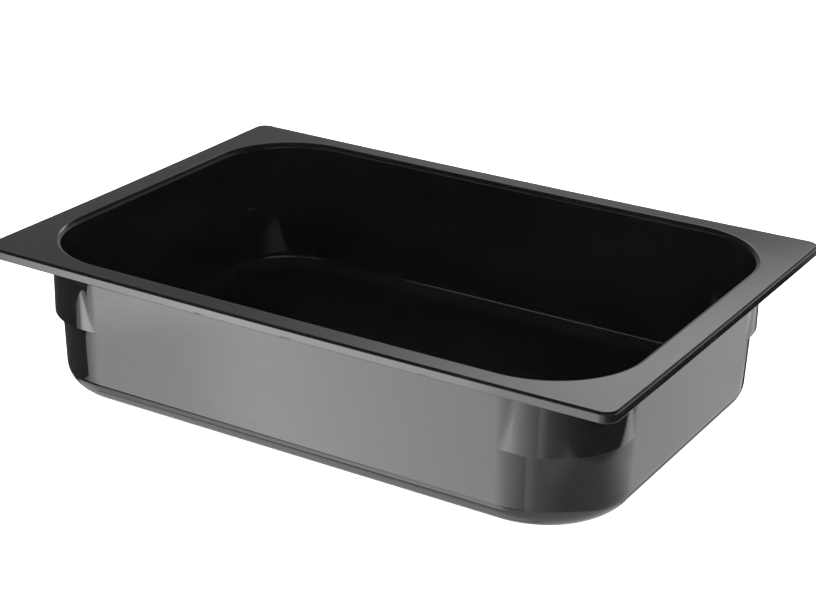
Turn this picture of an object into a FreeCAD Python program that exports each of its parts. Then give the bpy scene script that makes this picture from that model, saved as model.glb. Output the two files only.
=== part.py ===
"""Deli display food pan, 360 x 250 x 80 mm, moulded in one piece.

The pan stands with its mouth up. +Z is up, +X runs along the long side, and the origin is
the middle of the floor's underside. All sizes are in millimetres.
"""
import FreeCAD, Part
import math
import os
import Sketcher

# Each row is an alias in the spreadsheet, its value and what it measures. Sizes of the walls
# are taken in the plane of the rim's top, where the drafted faces would meet it.
DIMENSIONS = [
    ("pan_length", 360.0, "outside length over the rim"),
    ("pan_width", 250.0, "outside width over the rim"),
    ("pan_height", 80.0, "overall height"),
    ("rim_corner", 7.0, "corner radius of the rim seen from above"),
    ("rim_plate", 2.5, "thickness of the flat rim"),
    ("rim_edge_round", 1.3, "rounding of the rim's top outer edge"),
    ("lip_height", 5.4, "height of the turned-down lip, rim included"),
    ("lip_thickness", 2.5, "thickness of the lip"),
    ("lip_edge_round", 0.5, "rounding of the lip's lower edges"),
    ("wall_length", 332.4, "outside length of the walls"),
    ("wall_width", 227.2, "outside width of the walls"),
    ("wall_corner", 49.5, "outside corner radius of the walls"),
    ("wall_thickness", 2.5, "thickness of the walls and of the floor"),
    ("wall_draft", 2.0, "draft of the walls in degrees"),
    ("floor_round", 12.5, "outside rounding between the walls and the floor"),
    ("mouth_round", 3.2, "rounding of the mouth's inner edge"),
    ("ledge_drop", 39.0, "depth of the stacking ledges below the rim's top"),
    ("ledge_edge_round", 0.4, "rounding of the stacking ledges' outer edge"),
    ("shoulder_length", 330.2, "length over the upright faces of the corner shoulders"),
    ("shoulder_width", 225.0, "width over the upright faces of the corner shoulders"),
    ("shoulder_corner", 39.5, "corner radius of the shoulders"),
    ("shoulder_splay", 2.0, "angle in degrees at which a shoulder's ends run into the walls"),
    ("shoulder_root", 16.0, "how far a shoulder's hidden sides lie behind its arc's centre"),
]

# Sketcher's numbers for the axes, and for a point on a piece of geometry.
X_AXIS, Y_AXIS = -1, -2
START, END, CENTRE = 1, 2, 3


def make_sheet(doc):
    """The driving dimensions, one row each: name, value, meaning."""
    sheet = doc.addObject("Spreadsheet::Sheet", "Dimensions")
    for row, (alias, value, meaning) in enumerate(DIMENSIONS, start=1):
        sheet.set(f"A{row}", alias)
        sheet.set(f"B{row}", str(value))
        sheet.set(f"C{row}", meaning)
        sheet.setAlias(f"B{row}", alias)
    doc.recompute()
    return sheet


def sized(text):
    """An expression in which every <alias> is read from the sheet."""
    return text.replace("<", "Dimensions.").replace(">", "")


def base_plane(body, role):
    """One of the body's own origin planes."""
    return next(item for item in body.Origin.OriginFeatures if item.Role == role)


def new_sketch(body, name, level):
    """A sketch parallel to the floor, at a height given as an expression."""
    sketch = body.newObject("Sketcher::SketchObject", name)
    sketch.AttachmentSupport = [(base_plane(body, "XY_Plane"), "")]
    sketch.MapMode = "FlatFace"
    sketch.setExpression("AttachmentOffset.Base.z", sized(level))
    return sketch


def rule(sketch, *terms):
    """Add a geometric constraint."""
    return sketch.addConstraint(Sketcher.Constraint(*terms))


def dimension(sketch, name, expression, *terms):
    """Add a named dimension and bind it to the sheet."""
    index = rule(sketch, *terms)
    sketch.renameConstraint(index, name)
    sketch.setExpression(f"Constraints.{name}", sized(expression))


def add_rounded_rectangle(sketch, tag, length, width, corner):
    """Draw a rounded rectangle centred on the origin, its three sizes given as expressions."""
    half_x = sketch.evalExpression(sized(length)) / 2
    half_y = sketch.evalExpression(sized(width)) / 2
    radius = sketch.evalExpression(sized(corner))
    near_x, near_y = half_x - radius, half_y - radius
    first = sketch.GeometryCount
    lines = [first + side for side in range(4)]
    arcs = [first + 4 + side for side in range(4)]

    ends = [
        ((-near_x, -half_y), (near_x, -half_y)),
        ((half_x, -near_y), (half_x, near_y)),
        ((near_x, half_y), (-near_x, half_y)),
        ((-half_x, near_y), (-half_x, -near_y)),
    ]
    for start, end in ends:
        sketch.addGeometry(Part.LineSegment(FreeCAD.Vector(*start, 0), FreeCAD.Vector(*end, 0)))
    centres = [(near_x, -near_y), (near_x, near_y), (-near_x, near_y), (-near_x, -near_y)]
    quarter = math.pi / 2
    for side, centre in enumerate(centres):
        circle = Part.Circle(FreeCAD.Vector(*centre, 0), FreeCAD.Vector(0, 0, 1), radius)
        sketch.addGeometry(Part.ArcOfCircle(circle, (side - 1) * quarter, side * quarter))

    for side in range(4):
        rule(sketch, "Tangent", lines[side], END, arcs[side], START)
        rule(sketch, "Tangent", arcs[side], END, lines[(side + 1) % 4], START)
    for side in range(3):
        rule(sketch, "Equal", arcs[side], arcs[side + 1])
    rule(sketch, "Horizontal", lines[2])
    rule(sketch, "Vertical", lines[3])
    rule(sketch, "Symmetric", lines[0], START, lines[0], END, Y_AXIS)
    rule(sketch, "Symmetric", lines[1], START, lines[1], END, X_AXIS)
    dimension(sketch, f"{tag}_length", length,
              "DistanceX", lines[3], START, lines[1], START, 2 * half_x)
    dimension(sketch, f"{tag}_width", width,
              "DistanceY", lines[0], START, lines[2], START, 2 * half_y)
    dimension(sketch, f"{tag}_corner", corner, "Radius", arcs[0], radius)


def add_shoulder_outline(sketch):
    """Draw one corner shoulder: an arc that runs out straight at both ends, closed behind."""
    radius = sketch.evalExpression(sized("<shoulder_corner>"))
    centre_x = sketch.evalExpression(sized("<shoulder_length>")) / 2 - radius
    centre_y = sketch.evalExpression(sized("<shoulder_width>")) / 2 - radius
    root = sketch.evalExpression(sized("<shoulder_root>"))
    splay = math.radians(sketch.evalExpression(sized("<shoulder_splay>")))

    circle = Part.Circle(FreeCAD.Vector(centre_x, centre_y, 0), FreeCAD.Vector(0, 0, 1), radius)
    arc = Part.ArcOfCircle(circle, -splay, math.pi / 2 + splay)
    inner = FreeCAD.Vector(centre_x - root, centre_y - root, 0)
    side_foot = FreeCAD.Vector(arc.StartPoint.x, inner.y, 0)
    front_foot = FreeCAD.Vector(inner.x, arc.EndPoint.y, 0)
    arc_side, side, back_side, back_front, front = range(5)
    outline = [
        arc,
        Part.LineSegment(side_foot, arc.StartPoint),
        Part.LineSegment(side_foot, inner),
        Part.LineSegment(inner, front_foot),
        Part.LineSegment(front_foot, arc.EndPoint),
    ]
    for piece in outline:
        sketch.addGeometry(piece)

    rule(sketch, "Tangent", side, END, arc_side, START)
    rule(sketch, "Coincident", side, START, back_side, START)
    rule(sketch, "Horizontal", back_side)
    rule(sketch, "Coincident", back_side, END, back_front, START)
    rule(sketch, "Vertical", back_front)
    rule(sketch, "Coincident", back_front, END, front, START)
    rule(sketch, "Tangent", front, END, arc_side, END)
    dimension(sketch, "arc_radius", "<shoulder_corner>", "Radius", arc_side, radius)
    dimension(sketch, "arc_x", "<shoulder_length> / 2 - <shoulder_corner>",
              "DistanceX", X_AXIS, START, arc_side, CENTRE, centre_x)
    dimension(sketch, "arc_y", "<shoulder_width> / 2 - <shoulder_corner>",
              "DistanceY", X_AXIS, START, arc_side, CENTRE, centre_y)
    dimension(sketch, "root_x", "<shoulder_root>",
              "DistanceX", back_front, START, arc_side, CENTRE, root)
    dimension(sketch, "root_y", "<shoulder_root>",
              "DistanceY", back_front, START, arc_side, CENTRE, root)
    dimension(sketch, "front_angle", "<shoulder_splay> * 1 deg", "Angle", front, splay)
    dimension(sketch, "side_angle", "90 deg - <shoulder_splay> * 1 deg",
              "Angle", side, math.pi / 2 - splay)


def sweep_down(body, kind, name, sketch, depth, draft="0"):
    """A pad or pocket from its sketch downwards, drawn in by a draft angle in degrees."""
    feature = body.newObject(f"PartDesign::{kind}", name)
    feature.Profile = sketch
    feature.Reversed = kind == "Pad"
    feature.setExpression("Length", sized(depth))
    feature.setExpression("TaperAngle", sized(f"-{draft} * 1 deg"))
    body.Document.recompute()
    return feature


def mirror_to_corners(body, feature):
    """Repeat a feature in all four corners."""
    corners = body.newObject("PartDesign::MultiTransform", f"{feature.Name}s")
    corners.Originals = [feature]
    mirrors = []
    for role in ("YZ_Plane", "XZ_Plane"):
        mirror = body.Document.addObject("PartDesign::Mirrored", f"Mirror{role[:2]}")
        mirror.MirrorPlane = (base_plane(body, role), [""])
        body.addObject(mirror)
        mirrors.append(mirror)
    corners.Transformations = mirrors
    body.Tip = corners
    body.Document.recompute()
    return corners


def fillet(body, base, name, radius, chosen):
    """Round the edges of the last feature that the chosen rule picks."""
    numbered = enumerate(base.Shape.Edges, start=1)
    feature = body.newObject("PartDesign::Fillet", name)
    feature.Base = (base, [f"Edge{index}" for index, edge in numbered if chosen(edge)])
    feature.setExpression("Radius", sized(radius))
    body.Document.recompute()
    return feature


def edges_at(level, keep=lambda edge: True):
    """A rule that picks the edges lying flat at a height, and that keep accepts."""
    def chosen(edge):
        heights = (edge.BoundBox.ZMin, edge.BoundBox.ZMax)
        return all(abs(height - level) < 1e-3 for height in heights) and keep(edge)
    return chosen


def build_pan(doc, sheet):
    """The whole pan: drafted tray and corner shoulders, rim and lip, inside, roundings."""
    body = doc.addObject("PartDesign::Body", "Pan")
    body.Label = "pan"
    rim_top = "<pan_height>"

    outline = new_sketch(body, "TrayOutline", rim_top)
    add_rounded_rectangle(outline, "tray", "<wall_length>", "<wall_width>", "<wall_corner>")
    sweep_down(body, "Pad", "Tray", outline, "<pan_height>", "<wall_draft>")

    outline = new_sketch(body, "ShoulderOutline", f"{rim_top} - <rim_plate> / 2")
    add_shoulder_outline(outline)
    shoulder_height = "<ledge_drop> - <rim_plate> / 2"
    shoulder = sweep_down(body, "Pad", "Shoulder", outline, shoulder_height)
    mirror_to_corners(body, shoulder)

    outline = new_sketch(body, "RimOutline", rim_top)
    add_rounded_rectangle(outline, "rim", "<pan_length>", "<pan_width>", "<rim_corner>")
    sweep_down(body, "Pad", "Rim", outline, "<rim_plate>")

    outline = new_sketch(body, "LipOutline", rim_top)
    add_rounded_rectangle(outline, "outside", "<pan_length>", "<pan_width>", "<rim_corner>")
    add_rounded_rectangle(outline, "inside", "<pan_length> - 2 * <lip_thickness>",
                          "<pan_width> - 2 * <lip_thickness>", "<rim_corner> - <lip_thickness>")
    sweep_down(body, "Pad", "Lip", outline, "<lip_height>")

    outline = new_sketch(body, "CavityOutline", rim_top)
    add_rounded_rectangle(outline, "cavity", "<wall_length> - 2 * <wall_thickness>",
                          "<wall_width> - 2 * <wall_thickness>",
                          "<wall_corner> - <wall_thickness>")
    cavity_depth = "<pan_height> - <wall_thickness>"
    cavity = sweep_down(body, "Pocket", "Cavity", outline, cavity_depth, "<wall_draft>")

    # The inside is rounded first, so that its sharp corner never breaks through the outside.
    floor_edges = edges_at(sheet.wall_thickness)
    basin_round = "<floor_round> - <wall_thickness>"
    shape = fillet(body, cavity, "FloorRoundInside", basin_round, floor_edges)
    shape = fillet(body, shape, "FloorRoundOutside", "<floor_round>", edges_at(0.0))

    def in_mouth(edge):
        return max(abs(edge.BoundBox.XMin), abs(edge.BoundBox.XMax)) < sheet.wall_length / 2

    mouth_edges = edges_at(sheet.pan_height, in_mouth)
    rim_edges = edges_at(sheet.pan_height, lambda edge: not in_mouth(edge))
    lip_edges = edges_at(sheet.pan_height - sheet.lip_height)
    shape = fillet(body, shape, "MouthRound", "<mouth_round>", mouth_edges)
    shape = fillet(body, shape, "RimEdgeRound", "<rim_edge_round>", rim_edges)
    shape = fillet(body, shape, "LipEdgeRound", "<lip_edge_round>", lip_edges)

    def on_shoulder(edge):
        is_arc = edge.Curve.TypeId == "Part::GeomCircle"
        return is_arc and abs(edge.Curve.Radius - sheet.shoulder_corner) < 1e-3

    ledge_edges = edges_at(sheet.pan_height - sheet.ledge_drop, on_shoulder)
    fillet(body, shape, "LedgeEdgeRound", "<ledge_edge_round>", ledge_edges)
    return body


def check(doc, parts):
    """Stop if any object failed, or if any part isn't one valid closed solid."""
    for item in doc.Objects:
        if "Invalid" in item.State or "Error" in item.State:
            raise RuntimeError(f"{item.Name} failed: {item.State}")
    for part in parts:
        if part.Shape.isNull() or not part.Shape.isValid():
            raise RuntimeError(f"{part.Label} has no valid shape")
        if len(part.Shape.Solids) != 1:
            raise RuntimeError(f"{part.Label} is {len(part.Shape.Solids)} solids, not one")


def main():
    doc = FreeCAD.newDocument("DeliFoodPan")
    sheet = make_sheet(doc)
    parts = [build_pan(doc, sheet)]
    doc.recompute()
    check(doc, parts)
    os.makedirs("parts", exist_ok=True)
    for part in parts:
        part.Shape.exportStep(os.path.join("parts", f"{part.Label}.step"))
        box = part.Shape.optimalBoundingBox(False)
        size = f"{box.XLength:.2f} x {box.YLength:.2f} x {box.ZLength:.2f} mm"
        print(f"{part.Label}: {size}, {part.Shape.Volume / 1000:.1f} cubic centimetres")


main()
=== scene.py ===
"""A gloss black deli food pan, moulded in one piece, standing in a plain white studio.

The pan's skin is one closed mesh of rings that run all the way round it: from the middle of
the inside floor, up the walls, over the rim and its lip, down the outside and its corner
shoulders, to the middle of the underside. Every ring has the same number of points. Lengths
are in metres. Angles are in radians, except where a comment says degrees.
"""
import bpy
import math
import numpy as np
from mathutils import Matrix, Vector


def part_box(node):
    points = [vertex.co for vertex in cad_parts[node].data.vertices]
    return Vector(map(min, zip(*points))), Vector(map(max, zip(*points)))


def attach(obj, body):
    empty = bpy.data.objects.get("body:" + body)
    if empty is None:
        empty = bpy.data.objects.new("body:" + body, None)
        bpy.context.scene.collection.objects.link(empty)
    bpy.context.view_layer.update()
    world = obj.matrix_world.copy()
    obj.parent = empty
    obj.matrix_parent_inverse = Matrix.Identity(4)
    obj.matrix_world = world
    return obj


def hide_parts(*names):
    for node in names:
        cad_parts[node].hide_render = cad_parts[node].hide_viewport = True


MM = 0.001

# The moulding. Its length, width and height come from the frame. The overhangs are how far
# the rim stands out past the walls, and the insets how far the shoulders stand in from them,
# both at the level of the rim's top.
RIM_CORNER = 7.0 * MM
RIM_PLATE = 2.5 * MM
RIM_EDGE_ROUND = 1.3 * MM
LIP_HEIGHT = 5.4 * MM
LIP_THICKNESS = 2.5 * MM
LIP_EDGE_ROUND = 0.5 * MM
RIM_LENGTH_OVERHANG = 13.8 * MM
RIM_WIDTH_OVERHANG = 11.4 * MM
WALL_CORNER = 49.5 * MM
WALL_THICKNESS = 2.5 * MM
WALL_DRAFT = math.radians(2.0)
FLOOR_ROUND = 12.5 * MM
MOUTH_ROUND = 3.2 * MM
ROOT_ROUND = 0.8 * MM
LEDGE_DROP = 39.0 * MM
LEDGE_EDGE_ROUND = 0.4 * MM
LEDGE_ROOT_ROUND = 0.3 * MM
SHOULDER_LENGTH_INSET = 1.1 * MM
SHOULDER_WIDTH_INSET = 1.1 * MM
SHOULDER_CORNER = 39.5 * MM
SHOULDER_SPLAY = math.radians(2.0)
GATE_RADIUS = 6.0 * MM
GATE_DEPTH = 0.5 * MM
STUB_RADIUS = 1.6 * MM
STUB_HEIGHT = 0.35 * MM
RIM_SAG_LONG = 0.9 * MM
RIM_SAG_SHORT = 0.6 * MM
SAG_FADES_OVER = 30.0 * MM

# Segments along a quarter of a ring: its short side, the wall's share of the corner, the
# shoulder, the wall's share again, its long side.
SHORT_SEGMENTS, EDGE_SEGMENTS, SHOULDER_SEGMENTS, LONG_SEGMENTS = 8, 4, 30, 10
FIRST_ON_SHOULDER = SHORT_SEGMENTS + EDGE_SEGMENTS

# Where the corner's points are shared out evenly, the share each wall has of the corner.
EVEN_JOINT = math.radians(12.0)

# The radius of the innermost ring of the inside floor.
INSIDE_MIDDLE = 2.0 * MM

# A flat face ends in a narrow strip of this width beside a rounding, so its shading stays flat.
FLAT_STRIP = 0.1 * MM


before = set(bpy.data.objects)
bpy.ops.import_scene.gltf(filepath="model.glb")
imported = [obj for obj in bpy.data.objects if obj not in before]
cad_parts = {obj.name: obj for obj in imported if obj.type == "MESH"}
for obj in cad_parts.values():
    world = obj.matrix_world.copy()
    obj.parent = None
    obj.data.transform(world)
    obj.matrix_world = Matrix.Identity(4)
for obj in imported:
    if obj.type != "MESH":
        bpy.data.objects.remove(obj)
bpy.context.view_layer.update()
PAN_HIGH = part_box("pan")[1]
HALF_LENGTH = PAN_HIGH.x
HALF_WIDTH = PAN_HIGH.y
HEIGHT = PAN_HIGH.z

# The rectangle that every outline of the walls is a rounded offset of.
CORE_X = HALF_LENGTH - RIM_LENGTH_OVERHANG - WALL_CORNER
CORE_Y = HALF_WIDTH - RIM_WIDTH_OVERHANG - WALL_CORNER


# ---------------------------------------------------------------- the rings of the skin

class Skin:
    """Rings of points and their normals, from the middle of the inside to that below."""

    def __init__(self):
        self.points = []
        self.normals = []

    def add(self, points, normals):
        self.points.append(np.array(points, float))
        lengths = np.linalg.norm(normals, axis=1, keepdims=True)
        self.normals.append(np.array(normals, float) / lengths)


def whole_ring(quarter):
    """Mirror a quarter ring, from the short side's middle to the long side's, to all four.

    The quarter has rows of x, y, z and the normal's x, y, z.
    """
    rows = np.array(quarter, float)
    pieces = []
    for sign_x, sign_y in ((1, 1), (-1, 1), (-1, -1), (1, -1)):
        signs = np.array([sign_x, sign_y, 1, sign_x, sign_y, 1])
        piece = rows * signs
        pieces.append(piece[:-1] if sign_x * sign_y > 0 else piece[::-1][:-1])
    ring = np.vstack(pieces)
    return ring[:, :3], ring[:, 3:]


def evenly(start, end, segments, with_end=False):
    """Numbers from start towards end, and the end itself if it is asked for."""
    return np.linspace(start, end, segments + 1)[: segments + 1 if with_end else segments]


def corner_angles(joint):
    """The corner's angles: the wall up to the joint, the shoulder, the wall again."""
    quarter = math.pi / 2
    return np.concatenate([
        evenly(0.0, joint, EDGE_SEGMENTS),
        evenly(joint, quarter - joint, SHOULDER_SEGMENTS),
        evenly(quarter - joint, quarter, EDGE_SEGMENTS, with_end=True),
    ])


def outline(core_x, core_y, radius, angles):
    """A quarter of a rounded rectangle: points and outward directions in plan."""
    rows = [(core_x + radius, y, 1.0, 0.0) for y in evenly(0.0, core_y, SHORT_SEGMENTS)]
    for angle in angles:
        out_x, out_y = math.cos(angle), math.sin(angle)
        rows.append((core_x + radius * out_x, core_y + radius * out_y, out_x, out_y))
    along = evenly(core_x, 0.0, LONG_SEGMENTS, with_end=True)[1:]
    rows.extend((x, core_y + radius, 0.0, 1.0) for x in along)
    return rows


def add_outline(skin, rows, level, tilt):
    """Add a ring at one level whose normals lean up by the tilt angle."""
    lean, rise = math.cos(tilt), math.sin(tilt)
    skin.add(*whole_ring([(x, y, level, out_x * lean, out_y * lean, rise)
                          for x, y, out_x, out_y in rows]))


def add_wall_ring(skin, offset, level, tilt, joint=EVEN_JOINT):
    """A ring that is a rounded offset of the core rectangle."""
    add_outline(skin, outline(CORE_X, CORE_Y, offset, corner_angles(joint)), level, tilt)


def add_rim_ring(skin, inset, level, tilt):
    """A ring that runs parallel to the rim's outer edge."""
    radius = RIM_CORNER - inset
    core_x, core_y = HALF_LENGTH - RIM_CORNER, HALF_WIDTH - RIM_CORNER
    add_outline(skin, outline(core_x, core_y, radius, corner_angles(EVEN_JOINT)), level, tilt)


def turns(start, end, steps):
    """Angles in radians from start to end, both given in degrees and both included."""
    return [math.radians(angle) for angle in np.linspace(start, end, steps + 1)]


def outline_bearings(offset):
    """A wall outline's points, and their bearings from the middle of the pan."""
    square = outline(CORE_X, CORE_Y, offset, corner_angles(EVEN_JOINT))
    return square, [math.atan2(y, x) for x, y, _, _ in square]


def flat_middle_rings(offset, level, direction, last_radius):
    """Rings that shrink from a wall outline to a small circle on a flat floor.

    The outermost one is left to the rounding that follows or comes before.
    """
    rings = []
    square, bearings = outline_bearings(offset)
    for share in (0.97, 0.85, 0.65, 0.45, 0.28, 0.15, 0.0):
        rows = []
        for (x, y, _, _), bearing in zip(square, bearings):
            round_x = last_radius * math.cos(bearing)
            round_y = last_radius * math.sin(bearing)
            rows.append((round_x + (x - round_x) * share, round_y + (y - round_y) * share,
                         level, 0.0, 0.0, direction))
        rings.append(whole_ring(rows))
    return rings


def circle_ring(offset, radius, level, tilt):
    """A small round ring about the middle, for the gate's dimple below."""
    rows = []
    for bearing in outline_bearings(offset)[1]:
        out_x, out_y = math.cos(bearing), math.sin(bearing)
        rows.append((radius * out_x, radius * out_y, level,
                     out_x * math.cos(tilt), out_y * math.cos(tilt), math.sin(tilt)))
    return whole_ring(rows)


def wall_offset(level, thickness=0.0):
    """How far a drafted wall's face stands from the core rectangle at a level."""
    return WALL_CORNER - thickness - math.tan(WALL_DRAFT) * (HEIGHT - level)


def shoulder_offset(angle):
    """How far the shoulder's upright face stands from the wall's corner axis, and its normal."""
    shift_x = HALF_LENGTH - RIM_LENGTH_OVERHANG - SHOULDER_LENGTH_INSET - SHOULDER_CORNER - CORE_X
    shift_y = HALF_WIDTH - RIM_WIDTH_OVERHANG - SHOULDER_WIDTH_INSET - SHOULDER_CORNER - CORE_Y
    out = np.array([math.cos(angle), math.sin(angle)])
    shift = np.array([shift_x, shift_y])
    along = float(out @ shift)
    reach = along + math.sqrt(SHOULDER_CORNER ** 2 - float(shift @ shift) + along ** 2)
    normal = (out * reach - shift) / SHOULDER_CORNER
    bearing = math.atan2(normal[1], normal[0])
    limits = (-SHOULDER_SPLAY, math.pi / 2 + SHOULDER_SPLAY)
    if limits[0] <= bearing <= limits[1]:
        return reach, normal
    bearing = limits[0] if bearing < limits[0] else limits[1]
    normal = np.array([math.cos(bearing), math.sin(bearing)])
    return (SHOULDER_CORNER + float(normal @ shift)) / float(normal @ out), normal


def shoulder_joint(level):
    """The corner angle at which the shoulder comes out of the wall at a level."""
    low, high = 0.0, math.pi / 4
    for _ in range(40):
        middle = (low + high) / 2
        if shoulder_offset(middle)[0] > wall_offset(level):
            high = middle
        else:
            low = middle
    return high


def add_shoulder_ring(skin, level):
    """A ring of the outside above the ledges: walls, with a shoulder round each corner."""
    angles = corner_angles(shoulder_joint(level))
    quarter = drafted(outline(CORE_X, CORE_Y, wall_offset(level), angles), level)
    for step in range(SHOULDER_SEGMENTS + 1):
        angle = angles[EDGE_SEGMENTS + step]
        reach, normal = shoulder_offset(angle)
        face = np.array([normal[0], normal[1], 0.0])
        if step in (0, SHOULDER_SEGMENTS):
            face = face + np.array(quarter[FIRST_ON_SHOULDER + step][3:])
        quarter[FIRST_ON_SHOULDER + step] = corner_point(angle, reach, level, face)
    skin.add(*whole_ring(quarter))


def add_ledge_rings(skin):
    """The rings round the ledge's edge, across it, and round its root at the wall below.

    Between the shoulders, where there is no ledge, each is one more level of the plain wall.
    """
    rounds = [(turn, False) for turn in turns(0.0, 90.0, 4)]
    rounds += [(turn, True) for turn in turns(90.0, 0.0, 2)]
    drop = (LEDGE_EDGE_ROUND + LEDGE_ROOT_ROUND) / (len(rounds) - 1)
    for number, (turn, at_root) in enumerate(rounds):
        level = HEIGHT - LEDGE_DROP + LEDGE_EDGE_ROUND - number * drop
        add_ledge_ring(skin, level, turn, at_root)


def add_ledge_ring(skin, level, turn, at_root):
    """One ring of the ledge, where its face has turned from upright (0) towards flat."""
    ledge = HEIGHT - LEDGE_DROP
    angles = corner_angles(shoulder_joint(ledge))
    quarter = drafted(outline(CORE_X, CORE_Y, wall_offset(level), angles), level)
    for step in range(1, SHOULDER_SEGMENTS):
        angle = angles[EDGE_SEGMENTS + step]
        reach, normal = shoulder_offset(angle)
        depth = reach - wall_offset(ledge)
        # The roundings shrink where the ledge runs out, and never meet.
        radius = min(LEDGE_ROOT_ROUND if at_root else LEDGE_EDGE_ROUND, depth * 0.4)
        rise = radius * (1 - math.sin(turn))
        if at_root:
            normal = (math.cos(angle), math.sin(angle))
            place = (wall_offset(ledge) + drawn_back(radius, turn), ledge - rise)
        else:
            place = (reach - drawn_back(radius, turn), ledge + rise)
        face = (normal[0] * math.cos(turn), normal[1] * math.cos(turn), -math.sin(turn))
        quarter[FIRST_ON_SHOULDER + step] = corner_point(angle, *place, face)
    skin.add(*whole_ring(quarter))


def drawn_back(radius, turn):
    """How far a rounding has drawn back from its upright face after a turn."""
    return radius * (1 - math.cos(turn))


def corner_point(angle, offset, level, normal):
    """A point at a corner angle and offset from the wall's corner axis, with its normal."""
    return (CORE_X + offset * math.cos(angle), CORE_Y + offset * math.sin(angle), level,
            *normal)


def drafted(rows, level):
    """An outline's points at a level, with the normals of the outside's drafted wall."""
    lean, sink = math.cos(WALL_DRAFT), -math.sin(WALL_DRAFT)
    return [(x, y, level, out_x * lean, out_y * lean, sink) for x, y, out_x, out_y in rows]


def add_inside(skin):
    """The inside floor, its rounding, the drafted walls and the rounded mouth."""
    floor = WALL_THICKNESS
    radius = FLOOR_ROUND - WALL_THICKNESS
    touch = floor + radius * (1 - math.sin(WALL_DRAFT))
    centre = wall_offset(touch, WALL_THICKNESS) - radius * math.cos(WALL_DRAFT)
    for ring in reversed(flat_middle_rings(centre, floor, 1.0, INSIDE_MIDDLE)):
        skin.add(*ring)
    for turn in turns(0.0, 90.0 - math.degrees(WALL_DRAFT), 10):
        offset = centre + radius * math.sin(turn)
        level = floor + radius * (1 - math.cos(turn))
        add_wall_ring(skin, offset, level, math.atan2(math.cos(turn), -math.sin(turn)))
    mouth = HEIGHT - MOUTH_ROUND
    top_touch = mouth + MOUTH_ROUND * math.sin(WALL_DRAFT)
    for share in (0.02, 0.25, 0.5, 0.75, 0.98):
        level = touch + (top_touch - touch) * share
        add_wall_ring(skin, wall_offset(level, WALL_THICKNESS), level, math.pi - WALL_DRAFT)
    middle = wall_offset(top_touch, WALL_THICKNESS) + MOUTH_ROUND * math.cos(WALL_DRAFT)
    for turn in turns(180.0 - math.degrees(WALL_DRAFT), 90.0, 8):
        offset = middle + MOUTH_ROUND * math.cos(turn)
        add_wall_ring(skin, offset, mouth + MOUTH_ROUND * math.sin(turn), turn)


def add_rim(skin):
    """The rim's rounded outer edge, its lip and its underside, as far as the walls' root."""
    add_rim_ring(skin, RIM_EDGE_ROUND + FLAT_STRIP, HEIGHT, math.pi / 2)
    edge = RIM_EDGE_ROUND
    for turn in turns(90.0, 0.0, 6):
        level = HEIGHT - edge * (1 - math.sin(turn))
        add_rim_ring(skin, edge * (1 - math.cos(turn)), level, turn)
    foot = HEIGHT - LIP_HEIGHT
    small = LIP_EDGE_ROUND
    add_rim_ring(skin, 0.0, foot + small + FLAT_STRIP, 0.0)
    for turn in turns(0.0, -90.0, 4):
        level = foot + small * (1 + math.sin(turn))
        add_rim_ring(skin, small * (1 - math.cos(turn)), level, turn)
    for turn in turns(-90.0, -180.0, 4):
        level = foot + small * (1 + math.sin(turn))
        add_rim_ring(skin, LIP_THICKNESS - small * (1 + math.cos(turn)), level, turn)
    underside = HEIGHT - RIM_PLATE
    for turn in turns(180.0, 270.0, 3):
        level = underside - small * (1 + math.sin(turn))
        add_rim_ring(skin, LIP_THICKNESS + small * (1 + math.cos(turn)), level, turn)


def add_outside(skin):
    """The walls below the rim with their shoulders and ledges, and the rounded foot."""
    underside = HEIGHT - RIM_PLATE
    joint = shoulder_joint(underside)
    for turn in turns(0.0, 90.0, 3):
        reach = ROOT_ROUND * (1 - math.sin(turn))
        level = underside - ROOT_ROUND * (1 - math.cos(turn))
        add_root_ring(skin, joint, reach, level, turn)
    ledge = HEIGHT - LEDGE_DROP
    top = underside - ROOT_ROUND
    bottom = ledge + LEDGE_EDGE_ROUND
    for share in (0.02, 0.15, 0.3, 0.45, 0.6, 0.75, 0.88, 0.98):
        add_shoulder_ring(skin, top + (bottom - top) * share)
    add_ledge_rings(skin)
    joint = shoulder_joint(ledge)
    radius = FLOOR_ROUND
    touch = radius * (1 - math.sin(WALL_DRAFT))
    start = ledge - LEDGE_ROOT_ROUND
    for share in (0.03, 0.3, 0.6, 0.97):
        level = start + (touch - start) * share
        add_wall_ring(skin, wall_offset(level), level, -WALL_DRAFT, joint)
    centre = wall_offset(touch) - radius * math.cos(WALL_DRAFT)
    for turn in turns(-math.degrees(WALL_DRAFT), -90.0, 12):
        offset = centre + radius * math.cos(turn)
        add_wall_ring(skin, offset, radius * (1 + math.sin(turn)), turn, joint)
    add_underside(skin, centre)


def add_root_ring(skin, joint, reach, level, turn):
    """A ring of the small hollow rounding between the rim's underside and the walls."""
    angles = corner_angles(joint)
    rows = outline(CORE_X, CORE_Y, wall_offset(level) + reach, angles)
    quarter = [(x, y, level, out_x * math.sin(turn), out_y * math.sin(turn), -math.cos(turn))
               for x, y, out_x, out_y in rows]
    for step in range(SHOULDER_SEGMENTS + 1):
        angle = angles[EDGE_SEGMENTS + step]
        offset, normal = shoulder_offset(angle)
        offset = max(offset, wall_offset(level)) + reach
        face = (normal[0] * math.sin(turn), normal[1] * math.sin(turn), -math.cos(turn))
        quarter[FIRST_ON_SHOULDER + step] = corner_point(angle, offset, level, face)
    skin.add(*whole_ring(quarter))


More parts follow.
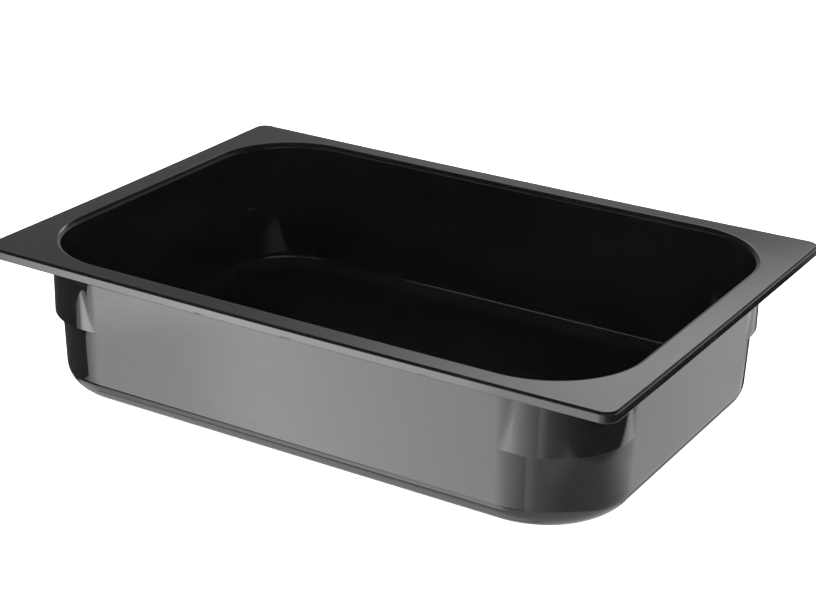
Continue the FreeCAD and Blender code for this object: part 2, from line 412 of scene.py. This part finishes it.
def add_underside(skin, offset):
    """The flat underside, with the gate's shallow dimple and its cut-off stub in the middle."""
    for ring in flat_middle_rings(offset, 0.0, -1.0, GATE_RADIUS + 1.0 * MM):
        skin.add(*ring)
    # Each ring's radius, its level and its tilt in degrees.
    for radius, level, tilt in (
        (GATE_RADIUS, 0.0, -90.0),
        (GATE_RADIUS - 0.15 * MM, 0.05 * MM, -120.0),
        (GATE_RADIUS - 0.35 * MM, GATE_DEPTH - 0.05 * MM, -120.0),
        (GATE_RADIUS - 0.5 * MM, GATE_DEPTH, -90.0),
        (STUB_RADIUS, GATE_DEPTH, -90.0),
        (STUB_RADIUS - 0.2 * MM, GATE_DEPTH - 0.1 * MM, -60.0),
        (STUB_RADIUS - 0.4 * MM, GATE_DEPTH - STUB_HEIGHT + 0.05 * MM, -60.0),
        (STUB_RADIUS - 0.6 * MM, GATE_DEPTH - STUB_HEIGHT, -90.0),
    ):
        skin.add(*circle_ring(offset, radius, level, math.radians(tilt)))


def sag(x, y, z):
    """How far the rim hangs down at a place, as the moulding's sides sag while they cool."""
    along = 1 - (x / HALF_LENGTH) ** 2
    across = 1 - (y / HALF_WIDTH) ** 2
    height = np.clip((z - (HEIGHT - SAG_FADES_OVER)) / SAG_FADES_OVER, 0.0, 1.0)
    near_long = np.clip(np.abs(y) / HALF_WIDTH, 0.0, 1.0) ** 2
    near_short = np.clip(np.abs(x) / HALF_LENGTH, 0.0, 1.0) ** 4
    drop = RIM_SAG_LONG * along * near_long + RIM_SAG_SHORT * across * near_short
    return drop * height ** 2


def with_sag(points, normals):
    """Lower the rim by its sag, and lean the normals to suit."""
    step = 0.5 * MM
    x, y, z = points[:, 0], points[:, 1], points[:, 2]
    slope_x = (sag(x + step, y, z) - sag(x - step, y, z)) / (2 * step)
    slope_y = (sag(x, y + step, z) - sag(x, y - step, z)) / (2 * step)
    moved = points.copy()
    moved[:, 2] -= sag(x, y, z)
    leaned = normals.copy()
    leaned[:, 0] += normals[:, 2] * slope_x
    leaned[:, 1] += normals[:, 2] * slope_y
    return moved, leaned / np.linalg.norm(leaned, axis=1, keepdims=True)


def closed_faces(rings, count):
    """Faces between neighbouring rings of count points, and round a point at either end.

    The two end points are the last of all: the first ring's, then the last ring's.
    """
    faces = []
    first_middle = rings * count
    last_middle = first_middle + 1
    for ring in range(rings - 1):
        start, above = ring * count, (ring + 1) * count
        for step in range(count):
            after = (step + 1) % count
            faces.append((above + step, above + after, start + after, start + step))
    last = (rings - 1) * count
    for step in range(count):
        after = (step + 1) % count
        faces.append((step, after, first_middle))
        faces.append((last + after, last + step, last_middle))
    return faces


def make_pan():
    """The whole moulding as one closed mesh with smooth normals."""
    skin = Skin()
    add_inside(skin)
    add_rim(skin)
    add_outside(skin)
    count = len(skin.points[0])
    points, normals = with_sag(np.vstack(skin.points), np.vstack(skin.normals))
    middles = points[:count].mean(axis=0), points[-count:].mean(axis=0)
    points = np.vstack([points, *middles])
    normals = np.vstack([normals, (0, 0, 1), (0, 0, -1)])

    mesh = bpy.data.meshes.new("food_pan")
    mesh.from_pydata([tuple(point) for point in points], [],
                     closed_faces(len(skin.points), count))
    mesh.validate()
    for polygon in mesh.polygons:
        polygon.use_smooth = True
    mesh.normals_split_custom_set_from_vertices([tuple(normal) for normal in normals])
    pan = bpy.data.objects.new("food_pan", mesh)
    bpy.context.scene.collection.objects.link(pan)
    return pan


# ---------------------------------------------------------------- materials

# How far wear reaches from the edges that are rubbed, and over what width it fades in
# from the flat walls towards a corner.
RIM_WEAR = 1.6 * MM
LIP_WEAR = 1.0 * MM
LEDGE_WEAR = 1.2 * MM
FOOT_WEAR = 2.2 * MM
CORNER_FADE = 8.0 * MM

# How many hair scratches could lie side by side in a metre.
SCRATCHES_ABREAST = 900.0

# One micrometre, for relief.
MICRON = 0.001 * MM


class Graph:
    """Short names for the nodes that the materials and the studio are made of."""

    def __init__(self, tree):
        self.tree = tree

    def node(self, kind, **settings):
        """A new node, with its own settings by name."""
        made = self.tree.nodes.new(kind)
        for name, value in settings.items():
            setattr(made, name, value)
        return made

    def put(self, socket, value):
        """Give a socket a number, or link another node's output to it."""
        if isinstance(value, (int, float)):
            socket.default_value = value
        else:
            self.tree.links.new(value, socket)

    def math(self, operation, first, second=0.0):
        """The result of one sum on two values."""
        node = self.node("ShaderNodeMath", operation=operation)
        self.put(node.inputs[0], first)
        self.put(node.inputs[1], second)
        return node.outputs[0]

    def add(self, *values):
        """All the values added together."""
        total = values[0]
        for value in values[1:]:
            total = self.math("ADD", total, value)
        return total

    def times(self, *values):
        """All the values multiplied together."""
        total = values[0]
        for value in values[1:]:
            total = self.math("MULTIPLY", total, value)
        return total

    def ramp(self, value, start, end, low=0.0, high=1.0, smooth=True):
        """A value that goes from low to high as the input goes from start to end."""
        kind = "SMOOTHSTEP" if smooth else "LINEAR"
        node = self.node("ShaderNodeMapRange", interpolation_type=kind)
        for name, number in (("Value", value), ("From Min", start), ("From Max", end),
                             ("To Min", low), ("To Max", high)):
            self.put(node.inputs[name], number)
        return node.outputs[0]

    def band(self, value, outer_low, inner_low, inner_high, outer_high):
        """1 between the inner limits, fading to 0 at the outer ones."""
        rise = self.ramp(value, outer_low, inner_low)
        fall = self.ramp(value, inner_high, outer_high, 1.0, 0.0)
        return self.times(rise, fall)

    def place(self, output="Object"):
        """A position output, and its x, y and z."""
        place = self.node("ShaderNodeTexCoord").outputs[output]
        split = self.node("ShaderNodeSeparateXYZ")
        self.put(split.inputs[0], place)
        return place, split.outputs["X"], split.outputs["Y"], split.outputs["Z"]

    def stretched(self, place, turn, stretch):
        """The position turned about three axes (degrees) and stretched along each."""
        node = self.node("ShaderNodeMapping")
        self.put(node.inputs["Vector"], place)
        node.inputs["Rotation"].default_value = [math.radians(angle) for angle in turn]
        node.inputs["Scale"].default_value = stretch
        return node.outputs[0]

    def noise(self, place, scale, detail=2.0, roughness=0.5):
        """Soft noise of about 0.2 to 0.8, its lumps 1 / scale metres across."""
        node = self.node("ShaderNodeTexNoise")
        self.put(node.inputs["Vector"], place)
        self.put(node.inputs["Scale"], scale)
        self.put(node.inputs["Detail"], detail)
        self.put(node.inputs["Roughness"], roughness)
        return node.outputs["Fac"]

    def mixed(self, share, first, second):
        """Two shaders mixed: the first where the share is 0, the second where it is 1."""
        node = self.node("ShaderNodeMixShader")
        for socket, value in zip(node.inputs, (share, first, second)):
            self.put(socket, value)
        return node.outputs[0]

    def specks(self, place, scale, size):
        """1 in the middle of scattered round specks and 0 outside them."""
        node = self.node("ShaderNodeTexVoronoi")
        self.put(node.inputs["Vector"], place)
        self.put(node.inputs["Scale"], scale)
        return self.ramp(node.outputs["Distance"], size, size * 0.5)


def fine_scratches(graph, place):
    """Hair scratches in three directions, broken up into short lengths."""
    total = None
    # The turn of each direction, and how many scratches follow each other in a metre along it.
    for turn, along in (((20, 35, 15), 9.0), ((-50, 10, 75), 12.0), ((80, -25, 40), 7.0)):
        stretch = (along, SCRATCHES_ABREAST, SCRATCHES_ABREAST)
        lines = graph.noise(graph.stretched(place, turn, stretch), 1.0, 0.0)
        hair = graph.times(graph.ramp(lines, 0.74, 0.79),
                           graph.ramp(graph.noise(place, 40.0), 0.50, 0.62))
        total = hair if total is None else graph.math("MAXIMUM", total, hair)
    return total


def rubbed_edges(graph, place, x, y, z):
    """Where a pan is rubbed in use: the rim's outer edge, the ledges and the foot."""
    from_middle_x = graph.math("ABSOLUTE", x)
    from_middle_y = graph.math("ABSOLUTE", y)
    past_end = graph.ramp(from_middle_x, HALF_LENGTH - RIM_WEAR, HALF_LENGTH)
    past_side = graph.ramp(from_middle_y, HALF_WIDTH - RIM_WEAR, HALF_WIDTH)
    rim_top = graph.ramp(z, HEIGHT - RIM_WEAR, HEIGHT)
    lip_foot = graph.ramp(z, HEIGHT - LIP_HEIGHT + LIP_WEAR, HEIGHT - LIP_HEIGHT)
    rim = graph.times(graph.math("MAXIMUM", past_end, past_side),
                      graph.math("MAXIMUM", rim_top, lip_foot))
    ledge = HEIGHT - LEDGE_DROP
    ledges = graph.band(z, ledge - 0.2 * MM, ledge, ledge + 0.3 * MM, ledge + LEDGE_WEAR)
    corner = graph.times(graph.ramp(from_middle_x, CORE_X, CORE_X + CORNER_FADE),
                         graph.ramp(from_middle_y, CORE_Y, CORE_Y + CORNER_FADE))
    foot = graph.ramp(z, FOOT_WEAR, 0.0, 0.0, 0.22)
    patches = graph.ramp(graph.noise(place, 90.0, 4.0, 0.65), 0.48, 0.66)
    edges = graph.math("MAXIMUM", rim, graph.math("MAXIMUM", graph.times(ledges, corner), foot))
    return graph.times(edges, patches)


def settled_dust(graph, place):
    """Scattered grains, in patches, on faces that look up."""
    facing = graph.node("ShaderNodeSeparateXYZ")
    graph.put(facing.inputs[0], graph.node("ShaderNodeNewGeometry").outputs["Normal"])
    lying = graph.ramp(facing.outputs["Z"], 0.2, 0.9)
    patches = graph.ramp(graph.noise(place, 60.0), 0.50, 0.62)
    return graph.times(graph.specks(place, 420.0, 0.075), lying, patches)


def plastic_colour(graph, place, rubbed, scratches, dust):
    """A deep black, a little uneven where the melt flowed, greyer where rubbed."""
    flow = graph.noise(graph.stretched(place, (0, 0, 0), (1.0, 1.0, 2.5)), 22.0, 3.0)
    depth = graph.add(graph.ramp(flow, 0.3, 0.7, 0.0035, 0.0052), graph.times(rubbed, 0.012),
                      graph.times(scratches, 0.003), graph.times(dust, 0.05))
    colour = graph.node("ShaderNodeCombineColor")
    graph.put(colour.inputs["Red"], depth)
    graph.put(colour.inputs["Green"], depth)
    graph.put(colour.inputs["Blue"], graph.times(depth, 1.03))
    return colour.outputs[0]


def plastic_roughness(graph, place, rubbed, scratches, dust):
    """Polished, with soft smears, and duller at scratches, rubbed edges and dust."""
    smears = graph.noise(graph.stretched(place, (25, 10, 40), (1.0, 3.0, 1.0)), 16.0, 4.0)
    return graph.add(graph.ramp(smears, 0.35, 0.75, 0.022, 0.06),
                     graph.times(scratches, 0.10), graph.times(rubbed, 0.28),
                     graph.times(dust, 0.5))


def plastic_relief(graph, place, rubbed, scratches, dust):
    """Slow waves of shrinkage, orange peel, hair scratches, rubbed skin and grains of dust."""
    height = graph.add(graph.times(graph.noise(place, 24.0, 1.0), 12.0 * MICRON),
                       graph.times(graph.noise(place, 170.0, 1.0), 0.5 * MICRON),
                       graph.times(scratches, -0.6 * MICRON),
                       graph.times(rubbed, graph.noise(place, 1500.0, 2.0), 5.0 * MICRON),
                       graph.times(dust, 8.0 * MICRON))
    bump = graph.node("ShaderNodeBump")
    bump.inputs["Strength"].default_value = 1.0
    bump.inputs["Distance"].default_value = 1.0
    graph.put(bump.inputs["Height"], height)
    return bump.outputs[0]


def black_plastic():
    """Gloss black moulded plastic, with faint flow, hair scratches, rubbed edges and dust."""
    material = bpy.data.materials.new("black_plastic")
    material.use_nodes = True
    graph = Graph(material.node_tree)
    shader = material.node_tree.nodes["Principled BSDF"]
    shader.inputs["IOR"].default_value = 1.58
    place, x, y, z = graph.place()
    marks = (rubbed_edges(graph, place, x, y, z), fine_scratches(graph, place),
             settled_dust(graph, place))
    graph.put(shader.inputs["Base Color"], plastic_colour(graph, place, *marks))
    graph.put(shader.inputs["Roughness"], plastic_roughness(graph, place, *marks))
    graph.put(shader.inputs["Normal"], plastic_relief(graph, place, *marks))
    return material


# ---------------------------------------------------------------- studio

FLOOR_RADIUS = 3.0
FLOOR_BEND = 1.0
BACKDROP_TOP = 5.0
FLOOR_SEGMENTS = 96
CARD_LEVEL = 0.2 * MM
FRONT_STRENGTH = 4.9


def make_camera():
    """The camera at the photograph's viewing angle."""
    azimuth = math.radians(30.93)
    elevation = math.radians(22.86)
    roll = math.radians(1.22)
    aim = Vector((0.0437, -0.0706, HEIGHT))
    distance = 0.979
    back = Vector((math.sin(azimuth) * math.cos(elevation),
                   -math.cos(azimuth) * math.cos(elevation),
                   math.sin(elevation)))
    data = bpy.data.cameras.new("camera")
    data.lens = 89.47
    data.sensor_width = 36.0
    data.clip_end = 20.0
    camera = bpy.data.objects.new("camera", data)
    camera.rotation_mode = "QUATERNION"
    upright = (-back).to_track_quat("-Z", "Y")
    camera.rotation_quaternion = upright @ Matrix.Rotation(roll, 3, "Z").to_quaternion()
    camera.location = aim + back * distance
    bpy.context.scene.collection.objects.link(camera)
    bpy.context.scene.camera = camera


def floor_profile():
    """The floor's reach and level from its middle to the top of the backdrop."""
    profile = [(reach, 0.0) for reach in (0.0, 0.5, 1.5, FLOOR_RADIUS)]
    for turn in turns(0.0, 90.0, 12)[1:]:
        profile.append((FLOOR_RADIUS + FLOOR_BEND * math.sin(turn),
                        FLOOR_BEND * (1 - math.cos(turn))))
    profile.append((FLOOR_RADIUS + FLOOR_BEND, BACKDROP_TOP))
    return profile


def white_floor():
    """A softly glowing white from above, and clear from below to show the pan's underside."""
    material = bpy.data.materials.new("white_floor")
    material.use_nodes = True
    graph = Graph(material.node_tree)
    shader = graph.tree.nodes["Principled BSDF"]
    shader.inputs["Base Color"].default_value = (0.9, 0.9, 0.9, 1.0)
    shader.inputs["Roughness"].default_value = 0.9
    shader.inputs["Specular IOR Level"].default_value = 0.0
    shader.inputs["Emission Color"].default_value = (1.0, 1.0, 1.0, 1.0)
    shader.inputs["Emission Strength"].default_value = 0.93
    from_below = graph.node("ShaderNodeNewGeometry").outputs["Backfacing"]
    clear = graph.node("ShaderNodeBsdfTransparent").outputs[0]
    mixed = graph.mixed(from_below, shader.outputs[0], clear)
    graph.put(graph.tree.nodes["Material Output"].inputs["Surface"], mixed)
    return material


def make_floor():
    """A plain white floor that curves up into a backdrop all round, seen but not mirrored."""
    profile = floor_profile()
    points = []
    for reach, level in profile:
        for step in range(FLOOR_SEGMENTS):
            angle = 2 * math.pi * step / FLOOR_SEGMENTS
            points.append((reach * math.cos(angle), reach * math.sin(angle), level))
    faces = []
    for ring in range(len(profile) - 1):
        start, beyond = ring * FLOOR_SEGMENTS, (ring + 1) * FLOOR_SEGMENTS
        for step in range(FLOOR_SEGMENTS):
            after = (step + 1) % FLOOR_SEGMENTS
            faces.append((start + step, start + after, beyond + after, beyond + step))
    mesh = bpy.data.meshes.new("floor")
    mesh.from_pydata(points, [], faces)
    mesh.flip_normals()
    for polygon in mesh.polygons:
        polygon.use_smooth = True
    floor = bpy.data.objects.new("floor", mesh)
    bpy.context.scene.collection.objects.link(floor)
    floor.visible_glossy = False
    mesh.materials.append(white_floor())


class Studio(Graph):
    """The studio round the pan: soft boxes given by bearing and height, in degrees.

    A bearing is measured from the front, -Y, towards +X, and a height from the horizon.
    """

    def __init__(self):
        world = bpy.data.worlds.new("studio")
        world.use_nodes = True
        bpy.context.scene.world = world
        super().__init__(world.node_tree)
        _, x, y, z = self.place("Generated")
        degrees = 180.0 / math.pi
        self.bearing = self.times(self.math("ARCTAN2", x, self.times(y, -1.0)), degrees)
        self.height = self.times(self.math("ARCSINE", z), degrees)
        self.lights = []

    def soft_box(self, strength, heights, bearings=None):
        """A light with soft edges, all the way round unless bearings are given.

        Its strength is a number or worked out by nodes. Heights and bearings are each four:
        where it starts and is full, and where it stops being full and ends.
        """
        across = 1.0 if bearings is None else self.band(self.bearing, *bearings)
        self.lights.append(self.times(self.band(self.height, *heights), across, strength))

    def finish(self):
        """Make the sum of the lights the world's brightness."""
        background = self.tree.nodes["Background"]
        background.inputs["Strength"].default_value = 1.0
        self.put(background.inputs["Color"], self.add(*self.lights))


def make_studio():
    """Soft boxes in front, behind and above, as the pan's polished faces mirror them."""
    studio = Studio()
    light_front(studio)
    light_below(studio)
    light_behind(studio)
    # A faint light from all round.
    studio.soft_box(0.03, heights=(-92.0, -91.0, 91.0, 92.0))
    studio.finish()


def light_front(studio):
    """The main soft box: brightest a little to the left, fading round to the right."""
    bearing, height = studio.bearing, studio.height
    turned = studio.add(bearing, 37.0)
    decay = studio.math("POWER", math.e, studio.times(turned, -1 / 30.5))
    fade = studio.math("MAXIMUM", studio.math("MINIMUM", studio.add(decay, -0.02), 1.0), 0.0)
    dim = studio.add(studio.ramp(bearing, -64.0, -40.0, 0.15, 0.72, smooth=False),
                     studio.ramp(bearing, -40.0, -36.0, 0.0, 0.28))
    left = studio.ramp(bearing, -46.0, -40.0, 0.55, 0.0)
    high = studio.ramp(height, -26.0, -23.5)
    shade = studio.math("SUBTRACT", 1.0, studio.times(left, high))
    # Its lower edge slants, level with the foot of the front wall, so the line there is crisp.
    slant = studio.ramp(bearing, -45.0, -30.8, -3.17, 1.33, smooth=False)
    foot = studio.ramp(studio.add(height, slant), -32.2, -30.8)
    studio.soft_box(studio.times(fade, dim, shade, foot, FRONT_STRENGTH),
                    heights=(-37.4, -35.2, -19.0, -12.0), bearings=(-80.0, -70.0, 130.0, 150.0))
    # Brighter high up, where the rim's upright lip mirrors it.
    studio.soft_box(1.2, heights=(-27.0, -25.5, -19.0, -14.0),
                    bearings=(-46.0, -40.0, -29.6, -27.5))
    # A bright upright edge at the corner, soft on its right.
    studio.soft_box(0.5, heights=(-46.0, -40.0, -19.0, -12.0), bearings=(7.5, 9.5, 10.0, 24.0))


def light_below(studio):
    """The floor as the rounded foot mirrors it: darker behind the pan, to the left."""
    bearing, height = studio.bearing, studio.height
    shadow = studio.times(studio.band(bearing, -178.0, -150.0, -135.0, -85.0), -0.4)
    bright = studio.times(studio.band(bearing, -100.0, -80.0, -65.0, -45.0), 0.35)
    line = studio.times(studio.band(bearing, -95.0, -78.0, -52.0, -38.0),
                        studio.band(height, -54.0, -52.0, -51.0, -49.0), -0.7)
    kept = studio.add(1.0, shadow, bright, line)
    studio.soft_box(kept, heights=(-92.0, -91.0, -46.0, -40.0))
    not_behind = studio.ramp(studio.math("ABSOLUTE", bearing), 163.0, 175.0, 1.0, 0.2)
    studio.soft_box(studio.times(kept, not_behind), heights=(-46.0, -40.0, -38.0, -33.0))
    # The near edge of the floor in front, as the top of the front foot mirrors it.
    across = studio.add(bearing, studio.times(studio.add(height, 37.0), -0.7))
    studio.soft_box(studio.ramp(across, -50.0, -35.0, 0.15, 1.9, smooth=False),
                    heights=(-50.0, -48.0, -33.5, -31.5), bearings=(-75.0, -62.0, -30.0, -12.0))
    # Two weaker patches, behind on the left and to the right.
    studio.soft_box(1.4, heights=(-37.0, -34.0, -29.0, -25.0),
                    bearings=(-178.0, -172.0, -160.0, -154.0))
    studio.soft_box(0.35, heights=(-40.0, -36.0, -32.5, -29.0),
                    bearings=(5.0, 25.0, 45.0, 75.0))


def light_behind(studio):
    """A small soft box low behind the back, the dim studio round it, and edge lights."""
    bearing = studio.bearing
    side = studio.ramp(bearing, -160.0, -142.0, 1.0, 0.0)
    end = studio.ramp(bearing, -177.0, -165.0)
    studio.soft_box(studio.times(side, end, 2.05), heights=(19.0, 26.5, 28.5, 34.0))
    around = studio.math("ABSOLUTE", bearing)
    studio.soft_box(studio.ramp(around, 100.0, 140.0, 0.0, 0.25),
                    heights=(-1.0, 1.0, 28.0, 42.0))
    studio.soft_box(studio.ramp(around, 143.0, 152.0, 0.0, 0.22),
                    heights=(-1.0, 1.0, 17.0, 24.0))
    # Soft boxes mostly for looking at the pan from behind.
    studio.soft_box(studio.ramp(bearing, 110.0, 165.0, 2.4, 0.8, smooth=False),
                    heights=(-21.5, -19.0, -10.0, -2.0), bearings=(85.0, 110.0, 165.0, 178.0))
    studio.soft_box(0.6, heights=(7.0, 12.0, 18.0, 26.0), bearings=(15.0, 40.0, 60.0, 85.0))
    # Just over the near rim: the thin line along the inside floor's far rounding.
    studio.soft_box(0.9, heights=(14.0, 15.5, 20.0, 22.0), bearings=(-60.0, -50.0, 0.0, 20.0))


def floor_card(name, corners):
    """A flat card just above the floor that only mirrors see; returns its nodes."""
    mesh = bpy.data.meshes.new(name)
    mesh.from_pydata([(x, y, CARD_LEVEL) for x, y in corners], [], [tuple(range(len(corners)))])
    card = bpy.data.objects.new(name, mesh)
    bpy.context.scene.collection.objects.link(card)
    card.visible_camera = False
    card.visible_diffuse = False
    card.visible_shadow = False
    card.visible_transmission = False
    material = bpy.data.materials.new(name)
    material.use_nodes = True
    material.node_tree.nodes.clear()
    mesh.materials.append(material)
    return Graph(material.node_tree)


def make_left_painted_shadow():
    """Painted shadow: a dark card on the floor, left of the pan's front corner, standing in for
    the pan's own shadow there as the walls mirror it.
    """
    graph = floor_card("left_painted_shadow", [
        (-0.150, -0.125), (-0.150, 0.6), (-1.2, 0.6), (-1.2, -1.05), (-1.05, -0.948),
        (-0.300, -0.252), (-0.262, -0.243), (-0.226, -0.245), (-0.226, -0.228),
        (-0.232, -0.212), (-0.231, -0.195), (-0.222, -0.186), (-0.205, -0.170),
        (-0.190, -0.1465)])
    _, _, y, _ = graph.place()
    glow = graph.node("ShaderNodeEmission")
    # The painted shadow grows a little lighter towards the back.
    graph.put(glow.inputs["Strength"], graph.ramp(y, -0.10, 0.15, 0.08, 0.16))
    output = graph.node("ShaderNodeOutputMaterial")
    graph.put(output.inputs["Surface"], glow.outputs[0])


def make_right_glow():
    """A lit strip of floor along the pan's right side, with a dimmer stretch in the middle."""
    graph = floor_card("right_glow", [(0.12, -0.19), (0.24, -0.19), (0.24, 0.6), (0.12, 0.6)])
    _, x, y, _ = graph.place()
    strength = graph.add(graph.ramp(y, -0.160, -0.115, 1.0, 0.45),
                         graph.ramp(y, -0.085, -0.030, 0.0, 0.72),
                         graph.ramp(y, 0.0, 0.150, 0.0, 0.06))
    kept = graph.times(graph.ramp(x, 0.214, 0.230, 1.0, 0.0), graph.ramp(x, 0.163, 0.168),
                       graph.ramp(y, -0.185, -0.135))
    # Dimmer close to the pan's back corner.
    behind = graph.times(graph.ramp(x, 0.190, 0.172), graph.ramp(y, 0.090, 0.170, 0.0, 0.6))
    strength = graph.times(strength, graph.math("SUBTRACT", 1.0, behind))
    glow = graph.node("ShaderNodeEmission")
    graph.put(glow.inputs["Strength"], strength)
    clear = graph.node("ShaderNodeBsdfTransparent").outputs[0]
    output = graph.node("ShaderNodeOutputMaterial")
    graph.put(output.inputs["Surface"], graph.mixed(kept, clear, glow.outputs[0]))


def make_overhead_light():
    """A wide soft light above that brightens the floor and isn't mirrored in the pan."""
    data = bpy.data.lights.new("overhead", "AREA")
    data.shape = "DISK"
    data.size = 3.0
    data.energy = 25.0
    light = bpy.data.objects.new("overhead", data)
    light.location = (0.0, 0.0, 3.0)
    light.visible_glossy = False
    bpy.context.scene.collection.objects.link(light)


# ---------------------------------------------------------------- put together

make_camera()
make_floor()
make_studio()
make_left_painted_shadow()
make_right_glow()
make_overhead_light()
bpy.context.scene.view_settings.view_transform = "Standard"

pan = make_pan()
pan.data.materials.append(black_plastic())
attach(pan, "root")
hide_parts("pan")
